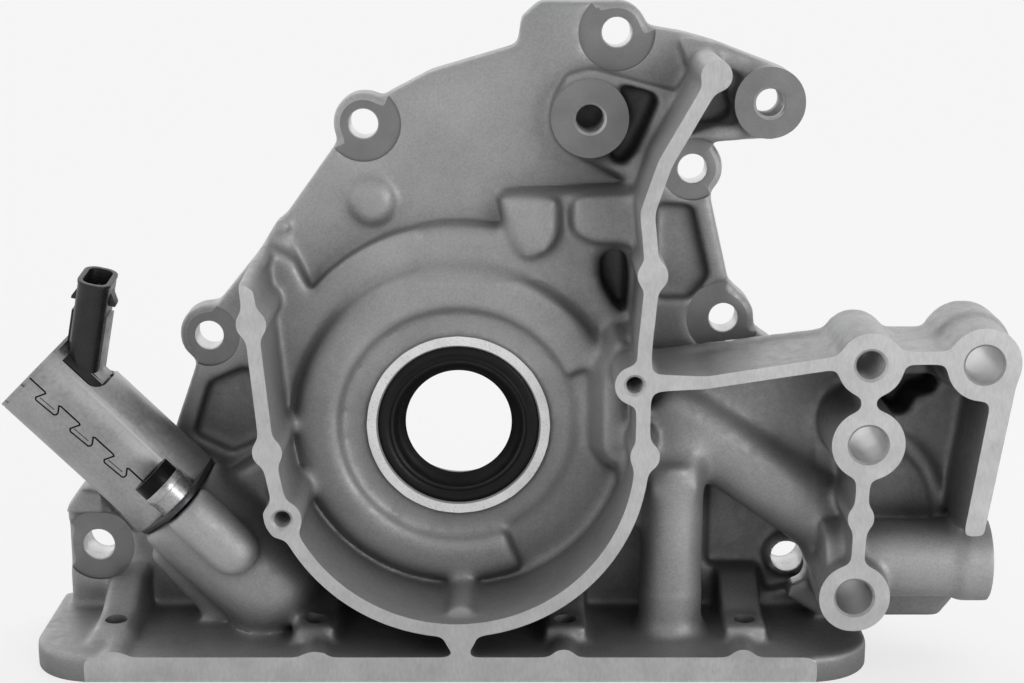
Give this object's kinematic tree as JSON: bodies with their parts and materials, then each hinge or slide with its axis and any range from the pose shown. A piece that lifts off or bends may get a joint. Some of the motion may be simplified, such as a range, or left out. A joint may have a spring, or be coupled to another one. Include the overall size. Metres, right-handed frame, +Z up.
{
  "type": "engine oil pump",
  "caption": "Crank-driven rotor oil pump in a cast front housing with seal, timing cover rib, pan flange, accessory bracket and a slanted solenoid control valve.",
  "frame": {"origin": "where the crankshaft's axis meets the face that bolts to the engine block", "axes": "+Y along the crankshaft axis into the engine, +Z up to the high ear, away from the oil pan; +X to the right seen from the front, toward the accessory bracket"},
  "size_m": [0.3056, 0.0594, 0.2006],
  "materials": {
    "cast_aluminium": "as cast with a fine grain, machined on the faces",
    "sintered_steel": "sintered and ground",
    "plate_steel": "ground plate",
    "zinc_steel": "zinc plated",
    "plain_steel": "turned, oiled",
    "spring_steel": "drawn wire",
    "seal_rubber": "satin black rubber",
    "washer_aluminium": "soft bright ring",
    "can_steel": "plated sheet, rolled",
    "coil_plastic": "moulded",
    "copper_wire": "enamelled copper",
    "black_plastic": "moulded, fine texture",
    "terminal_metal": "tinned",
    "flange_steel": "dark plated sheet",
    "black_steel": "blackened",
    "sleeve_aluminium": "turned",
    "spool_aluminium": "hard anodised"
  },
  "bodies": {
    "housing": {"housing": "cast_aluminium", "rear_cover": "plate_steel", "cover_screws": "zinc_steel", "dowel_sleeves": "plain_steel", "seal_body": "seal_rubber", "seal_insert": "plain_steel", "garter_spring": "spring_steel", "relief_spring": "spring_steel", "relief_plug": "zinc_steel", "plug_washer": "washer_aluminium", "solenoid_can": "can_steel", "end_plate": "plain_steel", "guide_tube": "plain_steel", "pole_core": "plain_steel", "coil_bobbin": "coil_plastic", "coil_winding": "copper_wire", "connector_body": "black_plastic", "terminals": "terminal_metal", "valve_flange": "flange_steel", "screw_bush": "zinc_steel", "fixing_screw": "black_steel", "valve_sleeve": "sleeve_aluminium", "filter_screen": "plain_steel", "valve_rings": "seal_rubber", "valve_spring": "spring_steel"},
    "inner_rotor": {"inner_rotor": "sintered_steel"},
    "outer_rotor": {"outer_rotor": "sintered_steel"},
    "relief_plunger": {"relief_plunger": "plain_steel"},
    "armature": {"armature": "plain_steel"},
    "valve_spool": {"valve_spool": "spool_aluminium"}
  },
  "joints": [
    {"name": "inner_rotor_spin", "type": "hinge", "parent": "housing", "child": "inner_rotor", "pos_m": [0, 0, 0], "axis": [0, 1, 0], "continuous": true},
    {"name": "outer_rotor_spin", "type": "hinge", "parent": "housing", "child": "outer_rotor", "pos_m": [0, 0, 0.003], "axis": [0, 1, 0], "continuous": true},
    {"name": "relief_slide", "type": "slide", "parent": "housing", "child": "relief_plunger", "axis": [1, 0, 0], "range_m": [0, 0.004], "stiffness_N_per_m": 6000, "springref_m": -0.008, "deforming": ["relief_spring"]},
    {"name": "armature_slide", "type": "slide", "parent": "housing", "child": "armature", "axis": [0.7071, 0, -0.7071], "range_m": [0, 0.0025], "stiffness_N_per_m": 600, "springref_m": -0.002},
    {"name": "spool_slide", "type": "slide", "parent": "housing", "child": "valve_spool", "axis": [0.7071, 0, -0.7071], "range_m": [0, 0.0025], "stiffness_N_per_m": 1500, "springref_m": -0.003, "deforming": ["valve_spring"]}
  ],
  "couplings": [
    {"joint": "outer_rotor_spin", "follows": "inner_rotor_spin", "ratio": 0.9},
    {"joint": "spool_slide", "follows": "armature_slide", "ratio": 1}
  ]
}
